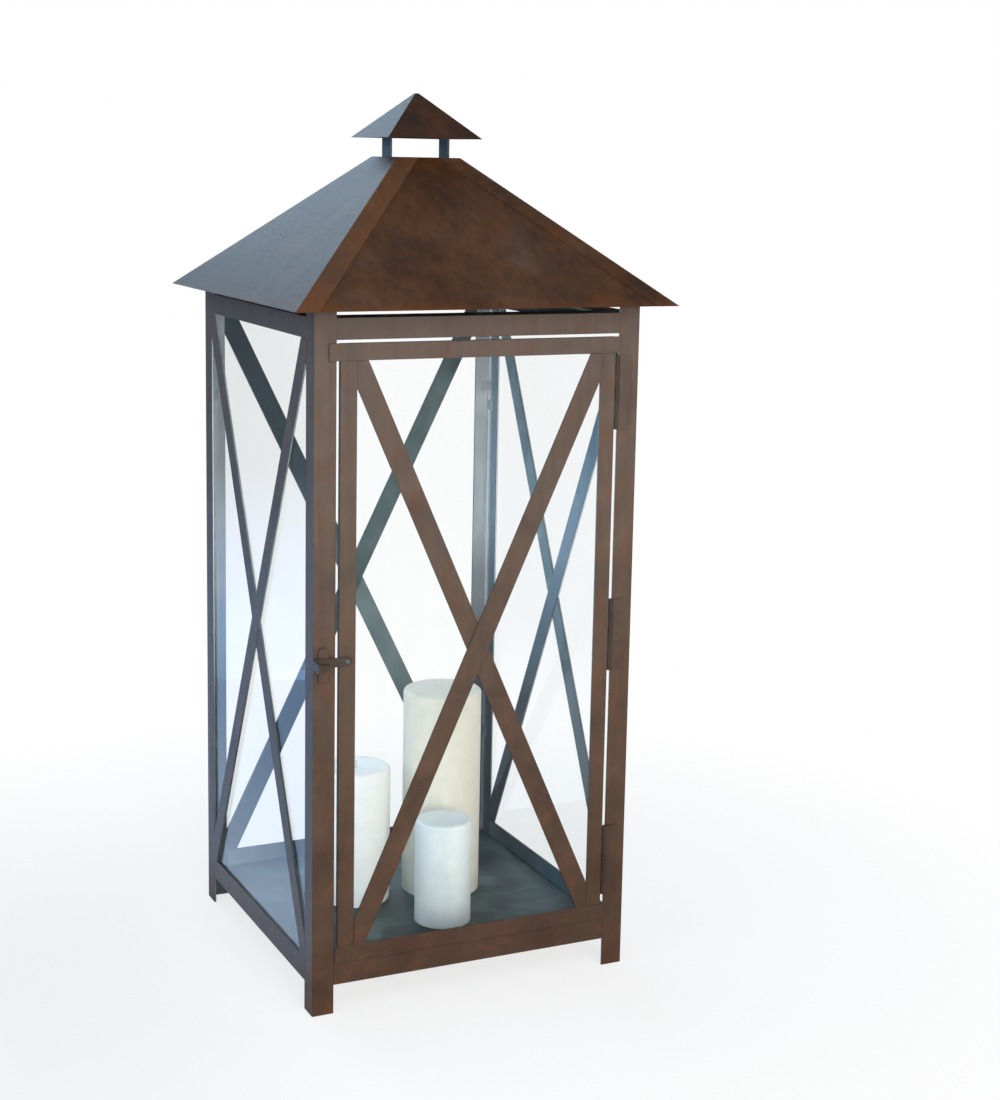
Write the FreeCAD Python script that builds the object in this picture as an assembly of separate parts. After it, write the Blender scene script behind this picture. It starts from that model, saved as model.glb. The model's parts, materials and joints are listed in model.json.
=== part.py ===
"""Tall square floor lantern: angle-iron frame, braced glass panels, hinged door and a hipped roof.

Millimetres. +Z is up, the origin is on the floor under the middle of the frame, the door is on -Y,
its hinges are on +X and its latch is on -X.
"""
import FreeCAD
import Part
import math
import os

V = FreeCAD.Vector

# Frame of angle iron
body_width = 460.0           # outer face to outer face, square plan
post_leg = 30.0              # leg of the corner posts
post_wall = 3.0
foot_height = 39.5           # clear height under the bottom rails
rail_wall = 3.0
bottom_rail_face = 30.0
bottom_rail_shelf = 30.0     # flange that carries the floor plate
panel_height = 819.0         # clear height between the bottom and the top rails
top_rail_face = 27.5
top_rail_shelf = 45.0
floor_sheet = 2.0
floor_clearance = 0.5

# Hipped roof of folded sheet, and the cap over its open top
vent_gap = 10.5              # air gap between the top rails and the eave
eave_overhang = 36.5
roof_rise = 187.5
roof_top_width = 89.0
roof_sheet = 1.2
lap_width = 24.0             # the side sheets fold over the front and back sheets by this much
cap_gap = 25.5               # smoke gap between the roof's rim and the cap
cap_width = 138.0
cap_rise = 60.5
cap_tip_width = 5.0
cap_sheet = 1.2
strap_width = 30.0
strap_thickness = 3.0
strap_foot = 22.0            # length of the bent ends that are welded under the sheets
strap_inset = 0.6            # from the rim's inner edge to the strap

# Crossed flat bars and glass
brace_width = 28.0
brace_thickness = 3.0
brace_step = 1.5             # the rising bar of each cross stands this far proud of the falling one
glass_thickness = 3.0
glass_edge_gap = 6.0         # from a post's inner face to the side edge of a pane
glass_top_gap = 4.0
clip_thickness = 1.5
clip_length = 15.0
clip_height = 14.0
clip_end_distance = 160.0    # from the ends of a pane to its clips
clip_stagger = 30.0          # lifts the back clips clear of the side ones

# Door
door_bar_wall = 3.0
door_stile_width = 22.5
door_rail_width = 22.0
door_face_clearance = 0.3    # air between the door and the posts' front faces
door_gap_latch = 4.0
door_gap_hinge = 6.5
door_gap_top = 4.0
door_gap_bottom = 0.8
door_rail_end_gap = 0.5
door_stop_overlap = 11.0     # the door's top rail laps over the latch post by this much
door_glass_gap = 0.5

# Hinges
hinge_length = 98.0
hinge_barrel_radius = 2.9
hinge_pin_radius = 1.5
hinge_pin_clearance = 0.05
hinge_head_height = 1.6
hinge_leaf_thickness = 2.0
hinge_leaf_width = 17.5      # on the post, from its inner edge
hinge_knuckles = 5
hinge_knuckle_gap = 0.4
hinge_clearance = 0.3
hinge_face_clearance = 0.1   # from the post's face to the barrel
hinge_top_drop = 26.5        # from the door's top edge to the upper hinge
hinge_bottom_rise = 36.5     # from the door's bottom edge to the lower hinge

# Latch
latch_height = 12.0
latch_thickness = 3.0
latch_reach = 49.0           # from the rivet to the bent end
latch_tab = 28.0             # length of the finger tab that stands out of the front
latch_bend = 4.5             # outer radius of the bend
latch_tab_round = 3.0
latch_clearance = 0.3
rivet_radius = 2.0
rivet_clearance = 0.05
rivet_head_radius = 3.4
rivet_head_height = 1.8
keeper_width = 14.0
keeper_inset = 6.0           # from the post's outer edge
keeper_thickness = 3.0
keeper_above = 20.0          # from the latch's centre line to the rounded top
keeper_below = 26.0
keeper_lip_height = 5.0
keeper_slot_clearance = 0.5
keeper_rest_clearance = 0.3

# Pillar candles: node name, radius, height, and where they stand
candles = [
    ("candle_tall", 57.0, 303.0, 65.0, 30.0),
    ("candle_medium", 50.0, 198.0, -66.0, 40.0),
    ("candle_short", 40.0, 149.0, 17.0, -89.0),
]
candle_edge_round = 5.0
wick_radius = 1.0
wick_height = 9.0

# Levels and planes that follow from the sizes above
half = body_width / 2
post_inner = half - post_leg
inside = half - post_wall
rail_inside = half - rail_wall
bottom_rail_top = foot_height + bottom_rail_face
top_rail_bottom = bottom_rail_top + panel_height
top_rail_top = top_rail_bottom + top_rail_face
floor_top = foot_height + rail_wall + floor_sheet
eave_height = top_rail_top + vent_gap
roof_top = eave_height + roof_rise
cap_eave = roof_top + cap_gap
cap_top = cap_eave + cap_rise

eave_half = half + eave_overhang
roof_top_half = roof_top_width / 2
roof_run = eave_half - roof_top_half
roof_sheet_across = roof_sheet * math.hypot(roof_rise, roof_run) / roof_rise
cap_half = cap_width / 2
cap_tip_half = cap_tip_width / 2
cap_run = cap_half - cap_tip_half
cap_sheet_across = cap_sheet * math.hypot(cap_rise, cap_run) / cap_rise
cap_sheet_down = cap_sheet * math.hypot(cap_rise, cap_run) / cap_run

door_back = -half - door_face_clearance
door_front = door_back - door_bar_wall
door_return_end = door_back + glass_thickness + clip_thickness
door_left = -post_inner + door_gap_latch
door_right = post_inner - door_gap_hinge
door_top = top_rail_bottom - door_gap_top
door_bottom = bottom_rail_top + door_gap_bottom
door_middle = (door_top + door_bottom) / 2
door_open_left = door_left + door_stile_width
door_open_right = door_right - door_stile_width
door_open_top = door_top - door_rail_width
door_open_bottom = door_bottom + door_rail_width

hinge_x = (door_right + post_inner) / 2
hinge_y = -half - hinge_face_clearance - hinge_barrel_radius
hinge_middles = {
    "upper": door_top - hinge_top_drop - hinge_length / 2,
    "middle": door_middle,
    "lower": door_bottom + hinge_bottom_rise + hinge_length / 2,
}

rivet_x = door_left + door_stile_width / 2
latch_back = door_front - latch_clearance
latch_front = latch_back - latch_thickness
latch_end = rivet_x - latch_reach


def box(x0, x1, y0, y1, z0, z1):
    return Part.makeBox(x1 - x0, y1 - y0, z1 - z0, V(x0, y0, z0))


def prism(points, direction):
    """Extrude a closed outline of straight edges."""
    corners = [V(*point) for point in points]
    return Part.Face(Part.makePolygon(corners + corners[:1])).extrude(V(*direction))


def turned(shape, quarters):
    """Turn a copy about the lantern's axis: front to right, back and left."""
    copy = shape.copy()
    copy.rotate(V(0, 0, 0), V(0, 0, 1), 90 * quarters)
    return copy


def frustum(low_x, low_y, low_z, high_x, high_y, high_z):
    """Upright frustum from its half widths at two levels."""
    solid = Part.makeWedge(-low_x, low_z, -low_y, -high_y, -high_x, low_x, high_z, low_y, high_y, high_x)
    solid.rotate(V(0, 0, 0), V(1, 0, 0), 90)
    return solid


def roof_solid(grow_x, grow_y):
    """Solid pyramid stump under the roof's base surface, its sides pushed out by the given amounts."""
    return frustum(eave_half + grow_x, eave_half + grow_y, eave_height,
                   roof_top_half + grow_x, roof_top_half + grow_y, roof_top)


def front_wedge():
    """Everything nearer to the front than to the other three sides."""
    reach = eave_half * 2
    return prism([(0, 0, 0), (-reach, -reach, 0), (reach, -reach, 0)], (0, 0, cap_top))


def corner_post():
    """Front left angle iron, its top cut to the slopes of the roof that it carries."""
    outline = [(-half, -half, 0), (-post_inner, -half, 0), (-post_inner, -inside, 0),
               (-inside, -inside, 0), (-inside, -post_inner, 0), (-half, -post_inner, 0)]
    slope = roof_run / roof_rise
    spread = eave_half + eave_height * slope
    under_roof = frustum(spread, spread - roof_sheet_across, 0,
                         roof_top_half, roof_top_half - roof_sheet_across, roof_top)
    return prism(outline, (0, 0, roof_top)).common(under_roof)


def bottom_rail():
    """Front angle iron between the posts, with the flange for the floor plate at its foot."""
    face = box(-post_inner, post_inner, -half, -rail_inside, foot_height, bottom_rail_top)
    shelf = box(-post_inner, post_inner, -half, -half + bottom_rail_shelf, foot_height, foot_height + rail_wall)
    return face.fuse(shelf).common(front_wedge()).removeSplitter()


def top_rail():
    """Front angle iron between the posts, with its wide flange on top, mitred at the corners."""
    face = box(-post_inner, post_inner, -half, -rail_inside, top_rail_bottom, top_rail_top)
    shelf = box(-post_inner, post_inner, -half, -half + top_rail_shelf, top_rail_top - rail_wall, top_rail_top)
    return face.fuse(shelf).common(front_wedge()).removeSplitter()


def floor_plate():
    reach = inside - floor_clearance
    return box(-reach, reach, -reach, reach, foot_height + rail_wall, floor_top)


def brace_pair(x0, x1, z0, z1, y_front):
    """Two flat bars from corner to corner of an opening; the rising bar is let into the falling one."""
    middle_x = (x0 + x1) / 2
    middle_z = (z0 + z1) / 2
    length = math.hypot(x1 - x0, z1 - z0)
    bars = []
    for lean, y0 in ((1, y_front - brace_step), (-1, y_front)):
        along_x = (x1 - x0) / length * lean
        along_z = (z1 - z0) / length
        corners = []
        for end, side in ((-1, -1), (1, -1), (1, 1), (-1, 1)):
            x = middle_x + end * length * along_x + side * brace_width / 2 * along_z
            z = middle_z + end * length * along_z - side * brace_width / 2 * along_x
            corners.append((x, y0, z))
        opening = box(x0, x1, y0, y0 + brace_thickness, z0, z1)
        bars.append(prism(corners, (0, brace_thickness, 0)).common(opening))
    rising, falling = bars
    return rising, falling.cut(rising)


def glass_pane():
    """Front-facing pane that stands on the floor plate behind the posts and rails."""
    reach = inside - glass_edge_gap
    top = top_rail_top - rail_wall - glass_top_gap
    return box(-reach, reach, -inside, -inside + glass_thickness, floor_top, top)


def glass_clips(lift):
    """Four tabs welded to the posts behind a front-facing pane."""
    y0 = -inside + glass_thickness
    low = floor_top + clip_end_distance + lift
    high = top_rail_bottom - clip_end_distance + lift
    tabs = []
    for z in (low, high):
        for x0 in (-inside, inside - clip_length):
            tabs.append(box(x0, x0 + clip_length, y0, y0 + clip_thickness, z, z + clip_height))
    return Part.makeCompound(tabs)


def front_roof_panel():
    """Front sheet of the roof, mitred along the hips."""
    sheet = roof_solid(0, 0).cut(roof_solid(-roof_sheet_across, -roof_sheet_across))
    return sheet.common(front_wedge())


def left_roof_panel():
    """Left sheet of the roof, with the two laps folded over the front and back sheets."""
    cover = roof_solid(roof_sheet_across, roof_sheet_across).cut(roof_solid(0, 0))
    side = cover.common(turned(front_wedge(), 3))
    slant = math.hypot(roof_rise, roof_run)
    lap_across = lap_width * math.hypot(slant, roof_run) / slant
    reach = eave_half * 2
    beside_hip = prism([(-reach, -reach, eave_height), (-eave_half + lap_across, -reach, eave_height),
                        (-roof_top_half + lap_across, -reach, roof_top), (-reach, -reach, roof_top)],
                       (0, reach, 0))
    front_lap = cover.common(front_wedge()).common(beside_hip)
    back_lap = front_lap.mirror(V(0, 0, 0), V(0, 1, 0))
    return side.fuse([front_lap, back_lap]).removeSplitter()


def chimney_strap():
    """Left strap between roof and cap, bent at both ends to lie against the sheets."""
    outer_x = -roof_top_half + strap_inset
    inner_x = outer_x + strap_thickness
    roof_slope = roof_rise / roof_run
    cap_slope = cap_rise / cap_run
    foot_run = strap_foot * roof_run / math.hypot(roof_rise, roof_run)
    tab_run = strap_foot * cap_run / math.hypot(cap_rise, cap_run)
    foot_drop = strap_thickness * math.hypot(roof_rise, roof_run) / roof_run
    tab_drop = strap_thickness * math.hypot(cap_rise, cap_run) / cap_run

    def under_roof(x):
        return roof_top + (x + roof_top_half) * roof_slope

    def under_cap(x):
        return cap_eave + (x + cap_half) * cap_slope - cap_sheet_down

    foot_x = -roof_top_half - foot_run
    tab_x = outer_x + tab_run
    outline = [
        (foot_x, under_roof(foot_x)),
        (-roof_top_half, roof_top),
        (outer_x, roof_top),
        (outer_x, under_cap(outer_x)),
        (tab_x, under_cap(tab_x)),
        (tab_x, under_cap(tab_x) - tab_drop),
        (inner_x, under_cap(inner_x) - tab_drop),
        (inner_x, under_roof(inner_x) - foot_drop),
        (foot_x, under_roof(foot_x) - foot_drop),
    ]
    return prism([(x, -strap_width / 2, z) for x, z in outline], (0, strap_width, 0))


def chimney_cap():
    """Pyramid of sheet, open underneath, with a slightly blunt tip."""
    outer = frustum(cap_half, cap_half, cap_eave, cap_tip_half, cap_tip_half, cap_top)
    inner_half = cap_half - cap_sheet_across
    inner = frustum(inner_half, inner_half, cap_eave, cap_tip_half, cap_tip_half, cap_top - cap_sheet_down)
    return outer.cut(inner)


def door_stile(left, right, return_left):
    """Upright of the door: a flat face with a return flange along its outer edge."""
    face = box(left, right, door_front, door_back, door_open_bottom, door_open_top)
    flange = box(return_left, return_left + door_bar_wall, door_front, door_return_end,
                 door_open_bottom, door_open_top)
    return face.fuse(flange).removeSplitter()


def door_rail(left, right, low, return_low):
    """Crosspiece of the door: a flat face with a return flange along its outer edge."""
    face = box(left, right, door_front, door_back, low, low + door_rail_width)
    flange = box(door_left, door_right, door_front, door_return_end, return_low, return_low + door_bar_wall)
    return face.fuse(flange).removeSplitter()


def door_pane():
    edge = door_bar_wall + door_glass_gap
    return box(door_left + edge, door_right - edge, door_back, door_back + glass_thickness,
               door_bottom + edge, door_top - edge)


def door_clips():
    """Four tabs welded to the stiles' return flanges behind the door's pane."""
    y0 = door_back + glass_thickness
    left = door_left + door_bar_wall
    right = door_right - door_bar_wall
    tabs = []
    for z in (door_bottom + clip_end_distance, door_top - clip_end_distance):
        for x0 in (left, right - clip_length):
            tabs.append(box(x0, x0 + clip_length, y0, y0 + clip_thickness, z, z + clip_height))
    return Part.makeCompound(tabs)


def hinge_cylinder(radius, low, high):
    return Part.makeCylinder(radius, high - low, V(hinge_x, hinge_y, low))


def hinge_spans(middle):
    """Heights of the knuckles from the bottom up: even ones on the post, odd ones on the door."""
    pitch = hinge_length / hinge_knuckles
    low = middle - hinge_length / 2
    return [(low + pitch * i, low + pitch * (i + 1)) for i in range(hinge_knuckles)]


def hinge_leaf(plate, middle, own):
    """Plate with its own knuckles rolled on it, and cut away round the other leaf's knuckles."""
    leaf = plate
    for number, (low, high) in enumerate(hinge_spans(middle)):
        if number % 2 == own:
            trimmed_low = low + hinge_knuckle_gap / 2
            trimmed_high = high - hinge_knuckle_gap / 2
            leaf = leaf.fuse(hinge_cylinder(hinge_barrel_radius, trimmed_low, trimmed_high))
        else:
            trimmed_low = low - hinge_knuckle_gap / 2
            trimmed_high = high + hinge_knuckle_gap / 2
            leaf = leaf.cut(hinge_cylinder(hinge_barrel_radius + hinge_clearance, trimmed_low, trimmed_high))
    bore = hinge_cylinder(hinge_pin_radius + hinge_pin_clearance,
                          middle - hinge_length, middle + hinge_length)
    return leaf.cut(bore).removeSplitter()


def hinge_post_leaf(middle):
    """Leaf on the front face of the hinge post."""
    plate = box(hinge_x, post_inner + hinge_leaf_width, -half - hinge_leaf_thickness, -half,
                middle - hinge_length / 2, middle + hinge_length / 2)
    return hinge_leaf(plate, middle, 0)


def hinge_door_leaf(middle):
    """Leaf on the outer edge of the door's hinge stile."""
    plate = box(door_right, door_right + hinge_leaf_thickness, hinge_y, door_return_end,
                middle - hinge_length / 2, middle + hinge_length / 2)
    return hinge_leaf(plate, middle, 1)


def hinge_pin(middle):
    top = middle + hinge_length / 2
    bottom = middle - hinge_length / 2
    shank = hinge_cylinder(hinge_pin_radius, bottom, top)
    head = hinge_cylinder(hinge_barrel_radius, top, top + hinge_head_height)
    return shank.fuse(head).removeSplitter()


def edges_along_z_at(shape, x, y):
    """Upright edges of a shape that stand on one point of its plan."""
    found = []
    for edge in shape.Edges:
        ends = [vertex.Point for vertex in edge.Vertexes]
        if all(math.hypot(end.x - x, end.y - y) < 0.01 for end in ends):
            found.append(edge)
    return found


def latch_bar():
    """Flat bar with a round end on the rivet and its free end bent out as a finger tab."""
    low = door_middle - latch_height / 2
    high = door_middle + latch_height / 2
    tab_y = latch_back - latch_tab
    inner_x = latch_end + latch_thickness
    outline = [(latch_end, tab_y, low), (inner_x, tab_y, low), (inner_x, latch_front, low),
               (rivet_x, latch_front, low), (rivet_x, latch_back, low), (latch_end, latch_back, low)]
    bar = prism(outline, (0, 0, latch_height))
    bar = bar.makeFillet(latch_bend, edges_along_z_at(bar, latch_end, latch_back))
    bar = bar.makeFillet(latch_bend - latch_thickness, edges_along_z_at(bar, inner_x, latch_front))
    corners = box(latch_end, inner_x, tab_y, tab_y + latch_tab_round, low, high)
    barrel = []
    for z in (low + latch_tab_round, high - latch_tab_round):
        barrel.append(Part.makeCylinder(latch_tab_round, latch_thickness,
                                        V(latch_end, tab_y + latch_tab_round, z), V(1, 0, 0)))
    flat = box(latch_end, inner_x, tab_y, tab_y + latch_tab_round, low + latch_tab_round, high - latch_tab_round)
    rounded = flat.fuse(barrel).common(corners)
    bar = bar.cut(corners).fuse(rounded)
    eye = Part.makeCylinder(latch_height / 2, latch_thickness, V(rivet_x, latch_front, door_middle), V(0, 1, 0))
    hole = Part.makeCylinder(rivet_radius + rivet_clearance, latch_thickness,
                             V(rivet_x, latch_front, door_middle), V(0, 1, 0))
    return bar.fuse(eye).cut(hole).removeSplitter()


def latch_rivet():
    """Rivet with a domed head, standing on the face of the door's latch stile."""
    seat = latch_front - latch_clearance
    tip = seat - rivet_head_height
    dome_radius = (rivet_head_radius ** 2 + rivet_head_height ** 2) / (2 * rivet_head_height)
    half_angle = math.asin(rivet_head_radius / dome_radius) / 2
    rim = V(rivet_x + rivet_head_radius, seat, door_middle)
    crown = V(rivet_x, tip, door_middle)
    between = V(rivet_x + dome_radius * math.sin(half_angle),
                tip + dome_radius * (1 - math.cos(half_angle)), door_middle)
    foot_centre = V(rivet_x, door_front, door_middle)
    foot_edge = V(rivet_x + rivet_radius, door_front, door_middle)
    neck = V(rivet_x + rivet_radius, seat, door_middle)
    dome = Part.Arc(rim, between, crown).toShape()
    outline = Part.makePolygon([crown, foot_centre, foot_edge, neck, rim]).Edges + [dome]
    return Part.Face(Part.Wire(outline)).revolve(foot_centre, V(0, 1, 0), 360)


def latch_keeper():
    """Strap on the latch post, bent into a hook that the latch bar drops into from above."""
    left = -half + keeper_inset
    plate_front = -half - keeper_thickness
    rest = door_middle - latch_height / 2 - keeper_rest_clearance
    ledge_low = rest - keeper_thickness
    lip_back = latch_front - keeper_slot_clearance
    lip_front = lip_back - keeper_thickness
    low = door_middle - keeper_below
    high = door_middle + keeper_above
    outline = [(-half, low), (plate_front, low), (plate_front, ledge_low), (lip_front, ledge_low),
               (lip_front, rest + keeper_lip_height), (lip_back, rest + keeper_lip_height),
               (lip_back, rest), (plate_front, rest), (plate_front, high), (-half, high)]
    hook = prism([(left, y, z) for y, z in outline], (keeper_width, 0, 0))
    radius = keeper_width / 2
    depth = -half - lip_front
    upright = box(left, left + keeper_width, lip_front, -half, low, high - radius)
    round_top = Part.makeCylinder(radius, depth, V(left + radius, lip_front, high - radius), V(0, 1, 0))
    return hook.common(upright.fuse(round_top)).removeSplitter()


def candle(radius, height, x, y):
    """Pillar candle with a softened top edge."""
    body = Part.makeCylinder(radius, height, V(x, y, floor_top))
    top_edges = [edge for edge in body.Edges if edge.BoundBox.ZMin > floor_top + height - candle_edge_round]
    return body.makeFillet(candle_edge_round, top_edges)


def wick(height, x, y):
    return Part.makeCylinder(wick_radius, wick_height, V(x, y, floor_top + height))


def build():
    """All nodes of the lantern by name."""
    nodes = {}
    sides = {"front": 0, "right": 1, "back": 2, "left": 3}

    left_post = corner_post()
    right_post = left_post.mirror(V(0, 0, 0), V(1, 0, 0))
    nodes["post_front_left"] = left_post
    nodes["post_front_right"] = right_post
    nodes["post_back_right"] = turned(left_post, 2)
    nodes["post_back_left"] = turned(right_post, 2)
    for name, quarters in sides.items():
        nodes["bottom_rail_" + name] = turned(bottom_rail(), quarters)
        nodes["top_rail_" + name] = turned(top_rail(), quarters)
    nodes["floor_plate"] = floor_plate()

    rising, falling = brace_pair(-post_inner, post_inner, bottom_rail_top, top_rail_bottom, -half)
    for name in ("right", "back", "left"):
        quarters = sides[name]
        nodes["brace_%s_rising" % name] = turned(rising, quarters)
        nodes["brace_%s_falling" % name] = turned(falling, quarters)
        nodes["glass_" + name] = turned(glass_pane(), quarters)
        lift = clip_stagger if name == "back" else 0
        nodes["glass_clips_" + name] = turned(glass_clips(lift), quarters)

    nodes["roof_panel_front"] = front_roof_panel()
    nodes["roof_panel_back"] = turned(front_roof_panel(), 2)
    nodes["roof_panel_left"] = left_roof_panel()
    nodes["roof_panel_right"] = turned(left_roof_panel(), 2)
    nodes["chimney_strap_left"] = chimney_strap()
    nodes["chimney_strap_right"] = turned(chimney_strap(), 2)
    nodes["chimney_cap"] = chimney_cap()

    nodes["door_stile_latch"] = door_stile(door_left, door_open_left, door_left)
    nodes["door_stile_hinge"] = door_stile(door_open_right, door_right, door_right - door_bar_wall)
    rail_right = post_inner - door_rail_end_gap
    nodes["door_rail_top"] = door_rail(-post_inner - door_stop_overlap, rail_right, door_open_top,
                                       door_top - door_bar_wall)
    nodes["door_rail_bottom"] = door_rail(-rail_right, rail_right, door_bottom, door_bottom)
    door_rising, door_falling = brace_pair(door_open_left, door_open_right, door_open_bottom, door_open_top,
                                           door_front)
    nodes["door_brace_rising"] = door_rising
    nodes["door_brace_falling"] = door_falling
    nodes["door_glass"] = door_pane()
    nodes["door_glass_clips"] = door_clips()

    for name, middle in hinge_middles.items():
        nodes["hinge_%s_post_leaf" % name] = hinge_post_leaf(middle)
        nodes["hinge_%s_door_leaf" % name] = hinge_door_leaf(middle)
        nodes["hinge_%s_pin" % name] = hinge_pin(middle)
    nodes["latch_bar"] = latch_bar()
    nodes["latch_rivet"] = latch_rivet()
    nodes["latch_keeper"] = latch_keeper()

    for name, radius, height, x, y in candles:
        nodes[name] = candle(radius, height, x, y)
        nodes[name.replace("candle", "wick")] = wick(height, x, y)
    return nodes


os.makedirs("parts", exist_ok=True)
for node, shape in build().items():
    if not shape.isValid():
        raise RuntimeError("invalid solid: " + node)
    shape.exportStep("parts/%s.step" % node)
print("hinge axis x %.2f y %.2f, rivet x %.2f z %.2f" % (hinge_x, hinge_y, rivet_x, door_middle))
print("floor top %.2f, top rail top %.2f, total height %.2f" % (floor_top, top_rail_top, cap_top))
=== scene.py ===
"""Looks of a tall candle lantern of rust-browned steel and glass.

Metres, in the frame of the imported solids.
"""
import bpy
import json
import math
from mathutils import Matrix, Vector

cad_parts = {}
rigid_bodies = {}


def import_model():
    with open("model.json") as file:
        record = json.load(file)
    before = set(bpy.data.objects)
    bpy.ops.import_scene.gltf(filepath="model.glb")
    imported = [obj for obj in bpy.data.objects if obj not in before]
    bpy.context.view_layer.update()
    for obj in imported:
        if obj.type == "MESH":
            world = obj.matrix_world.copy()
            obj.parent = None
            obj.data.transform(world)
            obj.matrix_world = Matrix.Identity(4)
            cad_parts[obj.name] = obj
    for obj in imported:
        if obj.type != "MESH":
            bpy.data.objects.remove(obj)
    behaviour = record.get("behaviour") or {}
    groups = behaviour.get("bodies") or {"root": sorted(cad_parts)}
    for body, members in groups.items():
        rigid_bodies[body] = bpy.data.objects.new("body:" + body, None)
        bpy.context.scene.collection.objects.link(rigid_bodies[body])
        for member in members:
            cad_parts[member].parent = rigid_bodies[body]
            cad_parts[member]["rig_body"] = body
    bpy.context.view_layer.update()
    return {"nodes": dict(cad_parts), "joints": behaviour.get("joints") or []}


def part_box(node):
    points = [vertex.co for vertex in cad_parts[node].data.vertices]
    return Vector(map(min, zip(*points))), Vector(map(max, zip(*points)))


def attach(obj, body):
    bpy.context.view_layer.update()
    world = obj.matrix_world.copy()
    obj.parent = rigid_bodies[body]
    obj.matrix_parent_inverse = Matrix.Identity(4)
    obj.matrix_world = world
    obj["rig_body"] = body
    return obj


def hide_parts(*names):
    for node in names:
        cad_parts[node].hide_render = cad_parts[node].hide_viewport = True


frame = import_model()
nodes = frame["nodes"]

MM = 0.001

# Edges and folds. Eased edges are as wide as a file or a wire brush leaves them
BAR_EASE = 0.6 * MM
SHEET_EASE = 0.35 * MM
LATCH_EASE = 0.45 * MM
FOLD_ROUND = 2.6 * MM               # where a roof sheet is folded over its neighbour
LIP_TAPER = 1.0 * MM                # where a lap's lip is hammered down
ROOF_PITCH = math.radians(40.2)
SHARP = math.radians(35)            # edges sharper than this are eased
FLAT = math.radians(1)              # faces that meet flatter than this are one face
MERGE = 0.001 * MM                  # corners nearer than this are one corner

# Marks by which faces and edges are told apart; those without a unit are parts of a face's normal
FACING = 0.5                        # looks towards something, or away from it
UNDERSIDE = -0.3                    # looks down
UPWARD = 0.9                        # looks straight up
LAP_LEAN = 0.45                     # looks to the front or back, on a side sheet of the roof
KEEPER_PLATE_FRONT = -233.5 * MM    # the keeper's hook stands in front of this plane
KNUCKLE_REACH = 3.2 * MM            # a hinge's knuckle ends this far from its axis
CORNER_NEAR = 0.3 * MM              # counts as at a corner of the eave
LEVEL_NEAR = 1.0 * MM               # counts as at the level of the eave or the rim
LIP_NEAR = 0.1 * MM                 # counts as on the outer side of a lap
RIM_NEAR = 0.01 * MM                # counts as at the level of a candle's top or foot
RIM_SHARE = 0.99                    # share of a candle's radius past which its outer edge lies
HINGE_AXIS = next(Vector(joint["pos_m"]) for joint in frame["joints"] if joint["name"] == "door_hinge")

# Candles and wicks
CANDLE_SIDES = 96
RIM_ROUND = 4.5 * MM
FOOT_ROUND = 1.5 * MM
DISH_RINGS = (                      # width as a share of the radius, and drop
    (0.13, 0.0),
    (0.16, 0.9 * MM),
    (0.22, 1.3 * MM),
    (0.22, 0.8 * MM),
    (0.16, 0.6 * MM),
)
WICK_SIDES = 6
WICK_GIRTH = 0.9                    # share of the plain solid's radius
WICK_ROOT = 4 * MM                  # depth of its root in the wax
WICK_TURNS = 8
WICK_TWIST = math.radians(24)       # from turn to turn
WICK_LEAN = 0.03 * MM               # each turn leans out by this much more than the one below
WICK_TIP = 0.7                      # share of the girth that is left at the tip

# Weld beads, with their girth as a share of the radius
BEAD_RADIUS = 1.1 * MM
BEAD_RIPPLE = 1.3 * MM
BEAD_SIDES = 8
BEAD_END = 0.45
BEAD_CREST = 1.0
BEAD_TROUGH = 0.84
BEAD_STANDOFF = 0.3 * MM            # in front of the face that the leaf or the keeper lies on
LEAF_BEAD = 12 * MM
LEAF_BEAD_INSET = 5 * MM            # from the ends of a leaf
KEEPER_BEAD = 9 * MM
KEEPER_BEAD_RISES = (4 * MM, 27 * MM)

# Tints on the steel, with the heights at which they begin and at which they are full
OLIVE = "514836"
# greyer towards the top: dust, and a painted sheen of the bright surroundings
DUST_AND_SHEEN = "625a55"
DUST_AND_SHEEN_FROM, DUST_AND_SHEEN_FULL = 0.15, 0.95
# darker and richer towards the bottom: damp, and painted shade
DAMP_AND_SHADE = "3a2416"
DAMP_AND_SHADE_FROM, DAMP_AND_SHADE_FULL = 0.6, 0.0
FOOT_RUST_FROM, FOOT_RUST_FULL = 12 * MM, -8 * MM
EAVE_RUST = "6b3a18"
EAVE_RUST_FROM, EAVE_RUST_FULL = 0.930, 0.916
# darker towards the bottom of the grey inner steel and the clips: painted shade
LOW_PAINTED_SHADE = (0.55, 0.30)
# darker towards the top of the back rising brace: painted shade under the roof
HIGH_PAINTED_SHADE = (0.45, 0.62)

# Studio floor, in metres from the lantern's axis
FLOOR_WIDTH = 24
PALE_TO, GREY_FROM = 1.4, 2.2
LEFT_FROM, LEFT_FULL = -0.25, -0.6
SHADOW_FULL, SHADOW_TO = 0.40, 1.1
SHADOW_WHITE = 0.75                 # share of plain white where the shadow is full

# Backdrop in mirror images, by parts of a ray's direction
BEHIND_FROM, BEHIND_FULL = 0.1, 0.6
OFF_LEFT_FROM, OFF_LEFT_FULL = -0.05, 0.15
FADE_FROM = 0.3                     # share of a card's height at which it begins to fade

# Camera, fitted to the photograph's corners
CAMERA_PLACE = (-1.0489, -2.4866, 1.1176)
YAW = math.radians(25.51)
DOWN = math.radians(9.48)
ROLL = math.radians(1.11)
FOCAL_PIXELS = 1938.8
FRAME_HEIGHT_PIXELS = 1100
AXIS_ROW = 480                      # the camera's axis meets the photograph in this row
SENSOR = 24.0

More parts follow.
